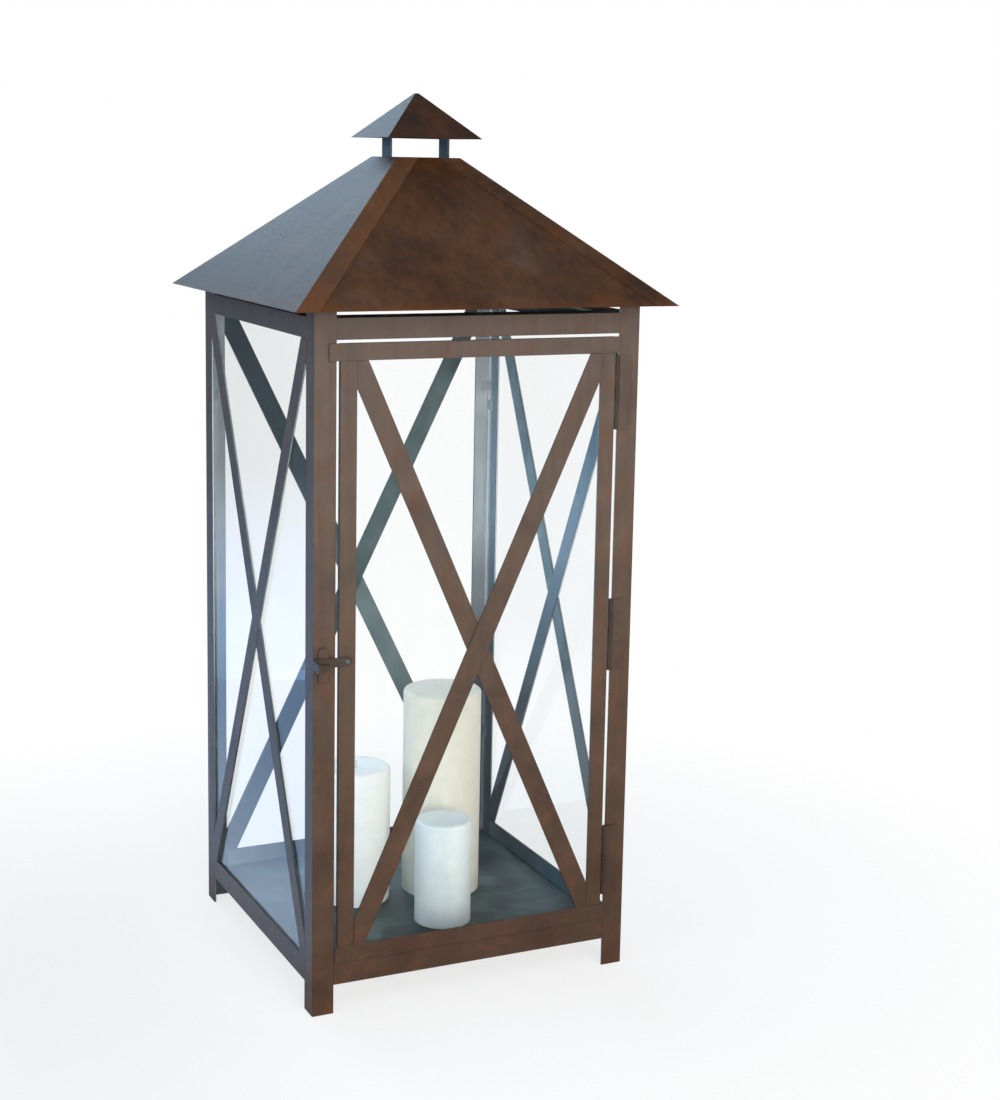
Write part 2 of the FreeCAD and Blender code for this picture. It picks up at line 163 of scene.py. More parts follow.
# Names of the solids by kind
SIDES = ("front", "right", "back", "left")
HINGE_PLACES = ("upper", "middle", "lower")
POSTS = ["post_front_left", "post_front_right", "post_back_right", "post_back_left"]
RAILS = ["%s_rail_%s" % (level, side) for level in ("bottom", "top") for side in SIDES]
BRACES = ["brace_%s_%s" % (side, lean) for side in SIDES[1:] for lean in ("rising", "falling")]
DOOR_BARS = ["door_stile_latch", "door_stile_hinge", "door_rail_top", "door_rail_bottom",
             "door_brace_rising", "door_brace_falling"]
PANES = ["glass_right", "glass_back", "glass_left", "door_glass"]
CLIPS = ["glass_clips_right", "glass_clips_back", "glass_clips_left", "door_glass_clips"]
HINGES = ["hinge_%s_%s" % (place, piece) for place in HINGE_PLACES
          for piece in ("post_leaf", "door_leaf", "pin")]


def paint(hex_colour):
    """Linear colour of an sRGB hex value."""
    channels = []
    for i in (0, 2, 4):
        c = int(hex_colour[i:i + 2], 16) / 255
        channels.append(c / 12.92 if c <= 0.04045 else ((c + 0.055) / 1.055) ** 2.4)
    return (*channels, 1.0)


def node(tree, kind, inputs=None, out=0, stops=(), **settings):
    """Add a node with its settings and links, and give back one of its outputs.

    An input is a number or vector, a hex colour, or another node's output. Stops are those of a colour ramp.
    Map Range has its value at 0, the range that it maps from at 1 and 2 and the one it maps to at 3 and 4. A
    colour Mix has its share at 0, its colours at 6 and 7, and its result at 2.
    """
    made = tree.nodes.new("ShaderNode" + kind)
    for name, value in settings.items():
        setattr(made, name, value)
    for name, value in (inputs or {}).items():
        if isinstance(value, bpy.types.NodeSocket):
            tree.links.new(value, made.inputs[name])
        else:
            made.inputs[name].default_value = paint(value) if isinstance(value, str) else value
    for i, (position, colour) in enumerate(stops):
        if i >= len(made.color_ramp.elements):
            made.color_ramp.elements.new(1.0)
        made.color_ramp.elements[i].position = position
        made.color_ramp.elements[i].color = paint(colour)
    return made.outputs[out] if made.outputs else None


def new_material(name):
    """Empty node material, with its tree and the place on the piece that patterns follow."""
    material = bpy.data.materials.new(name)
    material.use_nodes = True
    tree = material.node_tree
    tree.nodes.clear()
    return material, tree, node(tree, "TexCoord", out="Object")


def tint(tree, colour, tone, pattern, start, full, most):
    """Tint a colour with a tone, from not at all where a pattern is at start to the share most at full."""
    share = node(tree, "MapRange", {0: pattern, 1: start, 2: full, 3: 0.0, 4: most})
    return node(tree, "Mix", {0: share, 6: colour, 7: tone}, 2, data_type="RGBA")


def browned_steel(name, tones, rust, foot_rust, roughness, shine, dust_and_sheen=0.62):
    """Hot-rolled steel bar, rusted brown, brushed and waxed.

    The eye sees a warm brown that clouds from dark to greyish over a few centimetres, fine freckles of
    redder rust, long faint marks from the rolls, and a soft waxy shine that breaks up with the freckles.
    Here and there it turns olive. It is greyer towards the top, with dust and a painted sheen, darker and
    richer towards the bottom, with damp and painted shade, and redder towards the feet.
    """
    material, tree, place = new_material(name)
    height = node(tree, "SeparateXYZ", {0: place}, "Z")
    clouds = node(tree, "TexNoise", {"Vector": place, "Scale": 1 / (70 * MM), "Detail": 6, "Roughness": 0.62,
                                     "Distortion": 0.4})
    freckles = node(tree, "TexNoise", {"Vector": place, "Scale": 1 / (5 * MM), "Detail": 5, "Roughness": 0.7})
    blooms = node(tree, "TexNoise", {"Vector": place, "Scale": 1 / (38 * MM), "Detail": 5, "Roughness": 0.65,
                                     "Distortion": 0.8})
    hues = node(tree, "TexNoise", {"Vector": place, "Scale": 1 / (110 * MM), "Detail": 4, "Roughness": 0.55})
    drawn_out = node(tree, "Mapping", {"Vector": place, "Scale": (1, 1, 0.06)})
    rolls = node(tree, "TexNoise", {"Vector": drawn_out, "Scale": 1 / (9 * MM), "Detail": 3})
    ragged_height = node(tree, "Math", {0: blooms, 1: -30 * MM, 2: height}, operation="MULTIPLY_ADD")
    bloom_share = node(tree, "MapRange", {0: blooms, 1: 0.52, 2: 0.74, 3: 0.0, 4: 0.9})
    freckle_share = node(tree, "MapRange", {0: freckles, 1: 0.40, 2: 0.62, 3: 0.15, 4: 0.85})
    rust_share = node(tree, "Math", {0: bloom_share, 1: freckle_share}, operation="MULTIPLY")

    colour = node(tree, "ValToRGB", {0: clouds}, stops=tones)
    colour = tint(tree, colour, OLIVE, hues, 0.52, 0.70, 0.45)
    # painted sheen towards the top and painted shade towards the bottom, with dust and damp
    colour = tint(tree, colour, DUST_AND_SHEEN, height, DUST_AND_SHEEN_FROM, DUST_AND_SHEEN_FULL, dust_and_sheen)
    colour = tint(tree, colour, DAMP_AND_SHADE, height, DAMP_AND_SHADE_FROM, DAMP_AND_SHADE_FULL, 0.75)
    colour = node(tree, "Mix", {0: rust_share, 6: colour, 7: rust}, 2, data_type="RGBA")
    colour = tint(tree, colour, tones[0][1], rolls, 0.45, 0.75, 0.22)
    colour = tint(tree, colour, foot_rust, ragged_height, FOOT_RUST_FROM, FOOT_RUST_FULL, 0.28)

    dullness = node(tree, "MapRange", {0: freckles, 1: 0.3, 2: 0.7, 3: roughness - 0.09, 4: roughness + 0.11})
    relief = node(tree, "Math", {0: clouds, 1: 1.5, 2: freckles}, operation="MULTIPLY_ADD")
    node(tree, "OutputMaterial", {"Surface": node(tree, "BsdfPrincipled", {
        "Base Color": colour,
        "Roughness": dullness,
        "Normal": node(tree, "Bump", {"Height": relief, "Strength": 0.22, "Distance": 0.5 * MM}),
        "IOR": 1.5,
        "Specular IOR Level": shine,
        "Coat Weight": 0.06,
        "Coat Roughness": 0.35,
    })})
    return material


def rusted_sheet(name, turn, tones, bloom_tone):
    """Rolled steel sheet, left to rust and then oiled.

    Dark chocolate brown with greyer clouds, broad soft orange blooms, thin streaks that rain has drawn down
    the slope, a faint brighter rust line along the eave, and a dull surface with a slight oily sheen.
    """
    material, tree, place = new_material(name)
    height = node(tree, "SeparateXYZ", {0: place}, "Z")
    down_slope = node(tree, "Mapping", {"Vector": place, "Scale": (1, 0.16, 1), "Rotation": turn})
    clouds = node(tree, "TexNoise", {"Vector": place, "Scale": 1 / (130 * MM), "Detail": 6, "Roughness": 0.55,
                                     "Distortion": 0.3})
    blooms = node(tree, "TexNoise", {"Vector": down_slope, "Scale": 1 / (55 * MM), "Detail": 7,
                                     "Roughness": 0.6, "Distortion": 0.4})
    grit = node(tree, "TexNoise", {"Vector": place, "Scale": 1 / (3.5 * MM), "Detail": 4, "Roughness": 0.7})
    streaks = node(tree, "TexNoise", {"Vector": down_slope, "Scale": 1 / (11 * MM), "Detail": 5,
                                      "Roughness": 0.6, "Distortion": 0.3})
    dents = node(tree, "TexNoise", {"Vector": place, "Scale": 1 / (140 * MM), "Detail": 2, "Roughness": 0.4})
    ragged_height = node(tree, "Math", {0: blooms, 1: -20 * MM, 2: height}, operation="MULTIPLY_ADD")
    bloom_share = node(tree, "MapRange", {0: blooms, 1: 0.40, 2: 0.74, 3: 0.0, 4: 0.75})
    grit_share = node(tree, "MapRange", {0: grit, 1: 0.35, 2: 0.6, 3: 0.55, 4: 1.0})
    rust_share = node(tree, "Math", {0: bloom_share, 1: grit_share}, operation="MULTIPLY")

    colour = node(tree, "ValToRGB", {0: clouds}, stops=tones)
    colour = node(tree, "Mix", {0: rust_share, 6: colour, 7: bloom_tone}, 2, data_type="RGBA")
    colour = tint(tree, colour, tones[0][1], streaks, 0.50, 0.72, 0.5)
    colour = tint(tree, colour, bloom_tone, streaks, 0.46, 0.30, 0.45)
    colour = tint(tree, colour, EAVE_RUST, ragged_height, EAVE_RUST_FROM, EAVE_RUST_FULL, 0.25)

    relief = node(tree, "Math", {0: dents, 1: 12.0, 2: grit}, operation="MULTIPLY_ADD")
    node(tree, "OutputMaterial", {"Surface": node(tree, "BsdfPrincipled", {
        "Base Color": colour,
        "Roughness": node(tree, "MapRange", {0: grit, 1: 0.3, 2: 0.7, 3: 0.46, 4: 0.60}),
        "Normal": node(tree, "Bump", {"Height": relief, "Strength": 0.10, "Distance": 0.6 * MM}),
        "IOR": 1.5,
        "Specular IOR Level": 0.22,
    })})
    return material


def dull_steel(name, tones, roughness, shade_tone=None, shade_heights=None, patch=45 * MM):
    """Steel with its grey mill scale, as on the inner sides and the floor plate.

    A cool grey with soft lighter clouds and a satin surface, whose fine pits are only just felt. On the inner
    sides, the straps and the floor plate this grey is painted cool light. A painted shade darkens it from one
    height to another.
    """
    material, tree, place = new_material(name)
    clouds = node(tree, "TexNoise", {"Vector": place, "Scale": 1 / patch, "Detail": 3, "Roughness": 0.45,
                                     "Distortion": 0.5})
    pits = node(tree, "TexNoise", {"Vector": place, "Scale": 1 / (2.5 * MM), "Detail": 3, "Roughness": 0.6})
    colour = node(tree, "ValToRGB", {0: clouds}, stops=tones)
    # painted shade from one height to another
    if shade_tone:
        height = node(tree, "SeparateXYZ", {0: place}, "Z")
        colour = tint(tree, colour, shade_tone, height, *shade_heights, 0.85)
    dullness = node(tree, "MapRange", {0: clouds, 1: 0.3, 2: 0.7, 3: roughness - 0.08, 4: roughness + 0.1})
    node(tree, "OutputMaterial", {"Surface": node(tree, "BsdfPrincipled", {
        "Base Color": colour,
        "Roughness": dullness,
        "Normal": node(tree, "Bump", {"Height": pits, "Strength": 0.02, "Distance": 0.3 * MM}),
        "IOR": 1.5,
        "Specular IOR Level": 0.25,
    })})
    return material


def bright_rivet():
    """Turned mild steel rivet: bare metal with a little tarnish that dulls it in spots."""
    material, tree, place = new_material("bright_steel_rivet")
    tarnish = node(tree, "TexNoise", {"Vector": place, "Scale": 1 / (2 * MM), "Detail": 4, "Roughness": 0.6})
    node(tree, "OutputMaterial", {"Surface": node(tree, "BsdfPrincipled", {
        "Base Color": node(tree, "ValToRGB", {0: tarnish}, stops=[(0.35, "6f665e"), (0.7, "aaa299")]),
        "Metallic": 1.0,
        "Roughness": node(tree, "MapRange", {0: tarnish, 1: 0.3, 2: 0.7, 3: 0.32, 4: 0.48}),
    })})
    return material


def float_glass():
    """Clear float glass, 3 mm: flat, faintly cool, with a breath of dust. Lamps shine through it.

    Its IOR is below the usual 1.5, because the panes in the photograph mirror little of what is round them.
    """
    material, tree, place = new_material("float_glass")
    dust = node(tree, "TexNoise", {"Vector": place, "Scale": 1 / (30 * MM), "Detail": 4, "Roughness": 0.6})
    clear = node(tree, "BsdfPrincipled", {
        "Base Color": "feffff",
        "Transmission Weight": 1.0,
        "IOR": 1.2,
        "Roughness": node(tree, "MapRange", {0: dust, 1: 0.5, 2: 0.8, 3: 0.0, 4: 0.02}),
    })
    lamp_pass = node(tree, "BsdfTransparent", {"Color": "fafcfd"})
    is_shadow = node(tree, "LightPath", out="Is Shadow Ray")
    node(tree, "OutputMaterial", {"Surface": node(tree, "MixShader", {0: is_shadow, 1: clear, 2: lamp_pass})})
    return material


def candle_wax(name, tones):
    """Cast paraffin: light soaks in, a powdery bloom and shallow casting ripples."""
    material, tree, place = new_material(name)
    bloom = node(tree, "TexNoise", {"Vector": place, "Scale": 1 / (22 * MM), "Detail": 5, "Roughness": 0.6})
    drawn_out = node(tree, "Mapping", {"Vector": place, "Scale": (1, 1, 0.35)})
    ripples = node(tree, "TexNoise", {"Vector": drawn_out, "Scale": 1 / (14 * MM), "Detail": 4})
    node(tree, "OutputMaterial", {"Surface": node(tree, "BsdfPrincipled", {
        "Base Color": node(tree, "ValToRGB", {0: bloom}, stops=tones),
        "Roughness": node(tree, "MapRange", {0: bloom, 1: 0.3, 2: 0.7, 3: 0.42, 4: 0.58}),
        "Normal": node(tree, "Bump", {"Height": ripples, "Strength": 0.25, "Distance": 0.6 * MM}),
        "IOR": 1.44,
        "Subsurface Weight": 0.35,
        "Subsurface Radius": (1.0, 0.85, 0.65),
        "Subsurface Scale": 6 * MM,
    })})
    return material


def wick_cotton():
    """Braided cotton dipped in wax: off-white plaits with soft dark gaps."""
    material, tree, place = new_material("waxed_wick_cotton")
    plaits = node(tree, "TexWave", {"Vector": place, "Scale": 1 / (4 * MM), "Distortion": 2.0}, "Fac",
                  bands_direction="DIAGONAL")
    node(tree, "OutputMaterial", {"Surface": node(tree, "BsdfPrincipled", {
        "Base Color": node(tree, "ValToRGB", {0: plaits}, stops=[(0.1, "b9b29f"), (0.6, "e3dfd0")]),
        "Roughness": 0.6,
        "Normal": node(tree, "Bump", {"Height": plaits, "Strength": 0.5, "Distance": 0.2 * MM}),
    })})
    return material


def clouded(dark, middle, light, stops=(0.3, 0.55, 0.8)):
    """Stops of a ramp from the dark to the light of soft clouds."""
    return list(zip(stops, (dark, middle, light)))


# Browned bars: a warm brown, darker where a file or a hand has rubbed an edge, nearly black where it is oiled
BAR_TONES = [(0.30, "3b2b20"), (0.48, "543f2f"), (0.62, "5f4937"), (0.80, "6d5844")]
EDGE_TONES = [(0.3, "30241c"), (0.5, "4a382b"), (0.8, "6b5745")]
WELD_TONES = [(0.3, "30241c"), (0.5, "46352a"), (0.8, "594535")]
OILED_TONES = [(0.3, "2a231e"), (0.5, "39312a"), (0.8, "4b4239")]
bar_steel = browned_steel("browned_bar_steel", BAR_TONES, "6f4226", "57301f", 0.54, 0.3)
bar_edge = browned_steel("browned_bar_edge_rubbed", EDGE_TONES, "673f27", "57301f", 0.46, 0.3)
weld_steel = browned_steel("browned_weld_bead", WELD_TONES, "6f4226", "57301f", 0.5, 0.3)
latch_steel = browned_steel("dark_oiled_latch_steel", OILED_TONES, "47301f", "47301f", 0.5, 0.2)
knuckle_steel = browned_steel("dark_oiled_hinge_knuckle", OILED_TONES, "47301f", "47301f", 0.5, 0.2, 0.1)

# Rusted sheets: chocolate brown on the roof, greyer on its laps, darkest on the cap
SLOPE_FRONT = (ROOF_PITCH, 0, 0)
SLOPE_SIDE = (0, -ROOF_PITCH, math.pi / 2)
ROOF_TONES = [(0.30, "2b1b11"), (0.46, "392416"), (0.58, "442e1f"), (0.72, "524136")]
LAP_TONES = [(0.25, "432e22"), (0.46, "4e3727"), (0.62, "573d2b"), (0.80, "60442f")]
CAP_TONES = [(0.25, "1d120c"), (0.46, "23160e"), (0.62, "29190f"), (0.80, "2f1c11")]
roof_front_steel = rusted_sheet("rusted_sheet_front_and_back", SLOPE_FRONT, ROOF_TONES, "593618")
roof_side_steel = rusted_sheet("rusted_sheet_sides", SLOPE_SIDE, ROOF_TONES, "452c1c")
roof_lap_steel = rusted_sheet("rusted_sheet_folded_lap", SLOPE_FRONT, LAP_TONES, "6a3f1f")
cap_steel = rusted_sheet("rusted_sheet_cap", SLOPE_FRONT, CAP_TONES, "4f2d15")

# Grey steel: zinc grey in the corners, made paler still with painted light; a mid grey-blue of painted cool
# light on the inner sides, the low rails and the straps; dark under the roof; a dark grey-green of painted
# cool light on the floor plate; painted shade towards the bottom
# painted cool light: the inner sides' mid grey-blue stands for brown steel in cool light; painted shade
# towards the bottom
inner_side_cool_lit_steel = dull_steel("inner_side_painted_cool_light", clouded("7d8d8f", "8e9fa1", "9fb0b3"), 0.45,
                         "39464a", LOW_PAINTED_SHADE)
# painted light: the corners' zinc grey is made paler for light that barely reaches them; painted shade
# towards the bottom
corner_zinc_and_light_steel = dull_steel("zinc_grey_inner_corner_painted_light", clouded("d6dce0", "e0e6e9", "e8edef"), 0.5,
                              "4b575e", LOW_PAINTED_SHADE)
# painted shade towards the top of the back rising brace, and painted cool light on its grey inner side
back_bar_shaded_steel = dull_steel("back_bar_inner_side_painted_cool_light_and_shade", clouded("6a7879", "788788", "869596"), 0.45,
                         "2a332f", HIGH_PAINTED_SHADE)
# painted shade darkens the zinc clips towards the bottom
clip_steel = dull_steel("zinc_grey_clip", clouded("a6afb2", "b2bbbe", "bec6c9"), 0.5, "4b575e", LOW_PAINTED_SHADE)
# painted cool light: the grey-blue of the low rails' inner sides
low_rail_cool_lit_steel = dull_steel("low_rail_inner_side_painted_cool_light", clouded("7b9199", "899fa7", "97adb5"), 0.5)
under_steel = dull_steel("dark_mill_scale_underside", clouded("24201e", "312c29", "403a36"), 0.6)
# painted cool light: the straps' grey-blue
strap_cool_lit_steel = dull_steel("strap_painted_cool_light", clouded("465159", "535f68", "616e78"), 0.55)
# painted cool light: the floor plate's dark grey-green
floor_plate_cool_lit_steel = dull_steel("floor_sheet_painted_cool_light", clouded("263030", "374443", "515f5e", (0.34, 0.5, 0.66)), 0.55,
                         patch=60 * MM)

rivet_steel = bright_rivet()
glass = float_glass()
ivory_wax = candle_wax("cast_paraffin_ivory", clouded("dddac9", "e3e0d1", "e9e6d9"))
white_wax = candle_wax("cast_paraffin_white", clouded("e9ece7", "eff1ed", "f4f6f3"))
# the short candle's bluish white is painted cool light on white wax
cool_lit_wax = candle_wax("cast_paraffin_white_painted_cool_light", clouded("cfd9d9", "d5dfdf", "dce4e3"))
cotton = wick_cotton()


def select_none():
    bpy.ops.object.select_all(action="DESELECT")


def select_only(piece):
    select_none()
    piece.select_set(True)
    bpy.context.view_layer.objects.active = piece


def edit(piece):
    select_only(piece)
    bpy.ops.object.mode_set(mode="EDIT")


def stop_editing():
    bpy.ops.object.mode_set(mode="OBJECT")


def pick(piece, kind, test):
    """In edit mode, select only the faces or edges for which the test holds."""
    bpy.ops.mesh.select_mode(type=kind)
    bpy.ops.mesh.select_all(action="DESELECT")
    stop_editing()
    for part in (piece.data.polygons if kind == "FACE" else piece.data.edges):
        part.select = test(part)
    bpy.ops.object.mode_set(mode="EDIT")


def ends_of(piece, edge):
    return [piece.data.vertices[i].co for i in edge.vertices]


def apply_modifier(piece, kind, **settings):
    select_only(piece)
    made = piece.modifiers.new(kind.lower(), kind)
    for name, value in settings.items():
        setattr(made, name, value)
    bpy.ops.object.modifier_apply(modifier=made.name)


# Order of a piece's materials
PLAIN, EDGE, HIDDEN, LAP = range(4)


def all_plain(face):
    return PLAIN


def outwardness(face):
    """How far a face looks away from the lantern's axis, from -1 to 1."""
    outward = Vector((face.center.x, face.center.y)).normalized()
    return Vector((face.normal.x, face.normal.y)).dot(outward)


def inner_or_plain(face):
    """The side that looks at the lantern's axis is the hidden one."""
    return HIDDEN if outwardness(face) < -FACING else PLAIN


def outer_or_hidden(face):
    """Only the side that looks away from the lantern's axis is plain."""
    return PLAIN if outwardness(face) > FACING else HIDDEN


def under_or_plain(face):
    return HIDDEN if face.normal.z < UNDERSIDE else PLAIN


def under_lap_or_plain(face):
    """On a side sheet of the roof, what faces front or back is one of its laps."""
    if face.normal.z < UNDERSIDE:
        return HIDDEN
    return LAP if abs(face.normal.y) > LAP_LEAN else PLAIN


def hook_or_plain(face):
    """The keeper's hook stands proud of its plate; the hook is painted as dark as the latch for the shade it
    stands in, and the plate's sides are as dark.
    """
    return HIDDEN if face.center.y < KEEPER_PLATE_FRONT or face.normal.y > -FACING else PLAIN


def knuckle_or_plain(face):
    """The hinge's rolled knuckles are dark with oil, its leaves are as the bars."""
    corners = [face.id_data.vertices[i].co.xy for i in face.vertices]
    return HIDDEN if all((corner - HINGE_AXIS.xy).length < KNUCKLE_REACH for corner in corners) else PLAIN


def round_hip_folds(piece):
    """Round the outer folds of a side sheet of the roof from eave to rim, and hammer down its laps' lips."""
    def off_lap(co):
        """Distance of a point along the way that a lap's outer side looks."""
        return abs(co.y) * math.sin(ROOF_PITCH) + co.z * math.cos(ROOF_PITCH)

    corners = [point.co.copy() for point in piece.data.vertices]
    low = min(co.z for co in corners)
    high = max(co.z for co in corners)
    out_x = max(abs(co.x) for co in corners)
    out_y = max(abs(co.y) for co in corners)
    outermost = max(off_lap(co) for co in corners)

    def is_fold(edge):
        foot, head = sorted(ends_of(piece, edge), key=lambda co: co.z)
        at_corner = abs(foot.x) > out_x - CORNER_NEAR and abs(foot.y) > out_y - CORNER_NEAR
        return at_corner and foot.z < low + LEVEL_NEAR and head.z > high - LEVEL_NEAR

    def is_lip(edge):
        first, second = ends_of(piece, edge)
        on_top = min(off_lap(first), off_lap(second)) > outermost - LIP_NEAR
        return on_top and not is_fold(edge) and (first - second).length > high - low

    edit(piece)
    pick(piece, "EDGE", is_lip)
    bpy.ops.mesh.bevel(offset=LIP_TAPER, segments=2, affect="EDGES")
    pick(piece, "EDGE", is_fold)
    bpy.ops.mesh.bevel(offset=FOLD_ROUND, segments=4, affect="EDGES")
    stop_editing()


def eased(name, ease, materials, finish_of, shape_more=None):
    """Make a copy of a solid with its sharp edges eased, standing for it.

    Materials are those of the plain face, the eased edge, the hidden side and a lap.
    """
    source = nodes[name]
    piece = bpy.data.objects.new(name + "_eased", source.data.copy())
    bpy.context.scene.collection.objects.link(piece)
    edit(piece)
    bpy.ops.mesh.select_all(action="SELECT")
    bpy.ops.mesh.remove_doubles(threshold=MERGE)
    bpy.ops.mesh.customdata_custom_splitnormals_clear()
    bpy.ops.mesh.dissolve_limited(angle_limit=FLAT)
    stop_editing()
    piece.data.materials.clear()
    for material in materials:
        piece.data.materials.append(material)
    for face in piece.data.polygons:
        face.material_index = finish_of(face)
    bpy.ops.object.shade_smooth()
    if shape_more:
        shape_more(piece)
    apply_modifier(piece, "BEVEL", width=ease, segments=2, limit_method="ANGLE", angle_limit=SHARP,
                   harden_normals=True, material=EDGE)
    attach(piece, source["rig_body"])
    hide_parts(name)


def dress(name, material):
    """Give a solid that is right as it stands its material."""
    nodes[name].data.materials.clear()
    nodes[name].data.materials.append(material)


def pillar_candle(size, wax):
    """Cast pillar with a soft rim and a shallow dish round the wick, standing for the plain solid."""
    low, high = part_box("candle_" + size)
    radius = (high.x - low.x) / 2
    middle = (low + high) / 2
    select_none()
    bpy.ops.mesh.primitive_cylinder_add(vertices=CANDLE_SIDES, radius=radius, depth=high.z - low.z,
                                        location=middle)
    piece = bpy.context.active_object
    piece.name = "pillar_candle_" + size
    bpy.ops.object.transform_apply(location=True)
    edit(piece)
    pick(piece, "FACE", lambda face: face.normal.z > UPWARD)
    for width, drop in DISH_RINGS:
        bpy.ops.mesh.inset(thickness=radius * width)
        bpy.ops.transform.translate(value=(0, 0, -drop))

    def on_rim(edge, level):
        return all(abs(end.z - level) < RIM_NEAR and (end.xy - middle.xy).length > radius * RIM_SHARE
                   for end in ends_of(piece, edge))

    pick(piece, "EDGE", lambda edge: on_rim(edge, high.z))
    bpy.ops.mesh.bevel(offset=RIM_ROUND, segments=5, affect="EDGES")
    pick(piece, "EDGE", lambda edge: on_rim(edge, low.z))
    bpy.ops.mesh.bevel(offset=FOOT_ROUND, segments=3, affect="EDGES")
    stop_editing()
    bpy.ops.object.shade_smooth_by_angle(angle=SHARP)
    piece.data.materials.append(wax)
    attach(piece, "frame")
    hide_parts("candle_" + size)


def wick(size):
    """Twisted wick that leans a little, standing for the plain solid."""
    low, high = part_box("wick_" + size)
    radius = (high.x - low.x) / 2 * WICK_GIRTH
    foot = Vector(((low.x + high.x) / 2, (low.y + high.y) / 2, low.z - WICK_ROOT))
    step = (high.z - foot.z) / WICK_TURNS
    select_none()
    bpy.ops.mesh.primitive_cylinder_add(vertices=WICK_SIDES, radius=radius, depth=step,
                                        location=foot + Vector((0, 0, step / 2)))
    piece = bpy.context.active_object
    piece.name = "plaited_wick_" + size
    bpy.ops.object.transform_apply(location=True)
    edit(piece)
    pick(piece, "FACE", lambda face: face.normal.z > UPWARD)
    for turn in range(1, WICK_TURNS):
        lean = WICK_LEAN * turn
        bpy.ops.mesh.extrude_region_move(TRANSFORM_OT_translate={"value": (lean, -lean, step)})
        bpy.ops.transform.rotate(value=WICK_TWIST, orient_axis="Z",
                                 center_override=(foot.x, foot.y, foot.z + step * (turn + 1)))
    bpy.ops.transform.resize(value=(WICK_TIP, WICK_TIP, 1))
    stop_editing()
    bpy.ops.object.shade_smooth_by_angle(angle=SHARP)
    piece.data.materials.append(cotton)
    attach(piece, "frame")
    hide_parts("wick_" + size)


def weld_bead(length):
    """One weld bead along +X from the origin: a low rippled ridge with rounded ends."""
    ripples = round(length / BEAD_RIPPLE)
    step = length / ripples
    select_none()
    bpy.ops.mesh.primitive_circle_add(vertices=BEAD_SIDES, radius=BEAD_RADIUS * BEAD_END, fill_type="NGON",
                                      rotation=(0, math.pi / 2, 0))
    piece = bpy.context.active_object
    bpy.ops.object.transform_apply(location=True, rotation=True)
    edit(piece)
    bpy.ops.mesh.select_all(action="SELECT")
    girth = BEAD_END
    for ring in range(1, ripples + 1):
        next_girth = BEAD_END if ring == ripples else (BEAD_CREST if ring % 2 else BEAD_TROUGH)
        bpy.ops.mesh.extrude_region_move(TRANSFORM_OT_translate={"value": (step, 0, 0)})
        bpy.ops.transform.resize(value=(1, next_girth / girth, next_girth / girth))
        girth = next_girth
    bpy.ops.mesh.select_all(action="SELECT")
    bpy.ops.mesh.normals_make_consistent(inside=False)
    stop_editing()
    bpy.ops.object.shade_smooth()
    return piece


def weld_run(name, body, starts, length):
    """Upright copies of one bead, joined into one piece that rides on a body."""
    first = weld_bead(length)
    upright = Vector((1, 0, 0)).rotation_difference(Vector((0, 0, 1))).to_matrix().to_4x4()
    copies = []
    for start in starts:
        copy = first.copy()
        copy.data = first.data.copy()
        bpy.context.scene.collection.objects.link(copy)
        copy.data.transform(Matrix.Translation(start) @ upright)
        copies.append(copy)
    bpy.data.objects.remove(first)
    select_only(copies[0])
    for copy in copies:
        copy.select_set(True)
    bpy.ops.object.join()
    piece = bpy.context.active_object
    piece.name = name
    piece.data.materials.clear()
    piece.data.materials.append(weld_steel)
    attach(piece, body)


# Bars and sheets
for name in RAILS + DOOR_BARS:
    inner = low_rail_cool_lit_steel if name.startswith("bottom") else inner_side_cool_lit_steel
    eased(name, BAR_EASE, (bar_steel, bar_edge, inner), inner_or_plain)
# the back rising brace's inner side is painted darker towards its top, as painted shade under the roof
for name in BRACES:
    # the right falling brace's inner side takes the corners' paler painted light
    inner = {"brace_right_falling": corner_zinc_and_light_steel, "brace_back_rising": back_bar_shaded_steel}.get(name, inner_side_cool_lit_steel)
    eased(name, BAR_EASE, (bar_steel, bar_edge, inner), outer_or_hidden)
for name in POSTS:
    eased(name, BAR_EASE, (bar_steel, bar_edge, corner_zinc_and_light_steel), inner_or_plain)
for side in ("front", "back"):
    eased("roof_panel_" + side, SHEET_EASE, (roof_front_steel, roof_front_steel, under_steel), under_or_plain)
for side, lap in (("left", roof_lap_steel), ("right", roof_front_steel)):
    eased("roof_panel_" + side, SHEET_EASE, (roof_side_steel, lap, under_steel, lap), under_lap_or_plain,
          round_hip_folds)
    eased("chimney_strap_" + side, LATCH_EASE, (strap_cool_lit_steel, strap_cool_lit_steel), all_plain)
eased("chimney_cap", SHEET_EASE, (cap_steel, cap_steel, under_steel), under_or_plain)
eased("floor_plate", SHEET_EASE, (floor_plate_cool_lit_steel, floor_plate_cool_lit_steel), all_plain)
# the keeper's hook takes the dark latch steel as painted shade, and so do the plate's sides
eased("latch_keeper", LATCH_EASE, (bar_steel, latch_steel, latch_steel), hook_or_plain)
eased("latch_bar", LATCH_EASE, (latch_steel, latch_steel), all_plain)
for name in PANES:
    dress(name, glass)
for name in CLIPS:
    dress(name, clip_steel)
for name in HINGES:
    if name.endswith("leaf"):
        eased(name, SHEET_EASE, (bar_edge, bar_edge, knuckle_steel), knuckle_or_plain)
    else:
        dress(name, knuckle_steel)
dress("latch_rivet", rivet_steel)

# Candles
for size, wax in (("tall", ivory_wax), ("medium", white_wax), ("short", cool_lit_wax)):
    pillar_candle(size, wax)
    wick(size)

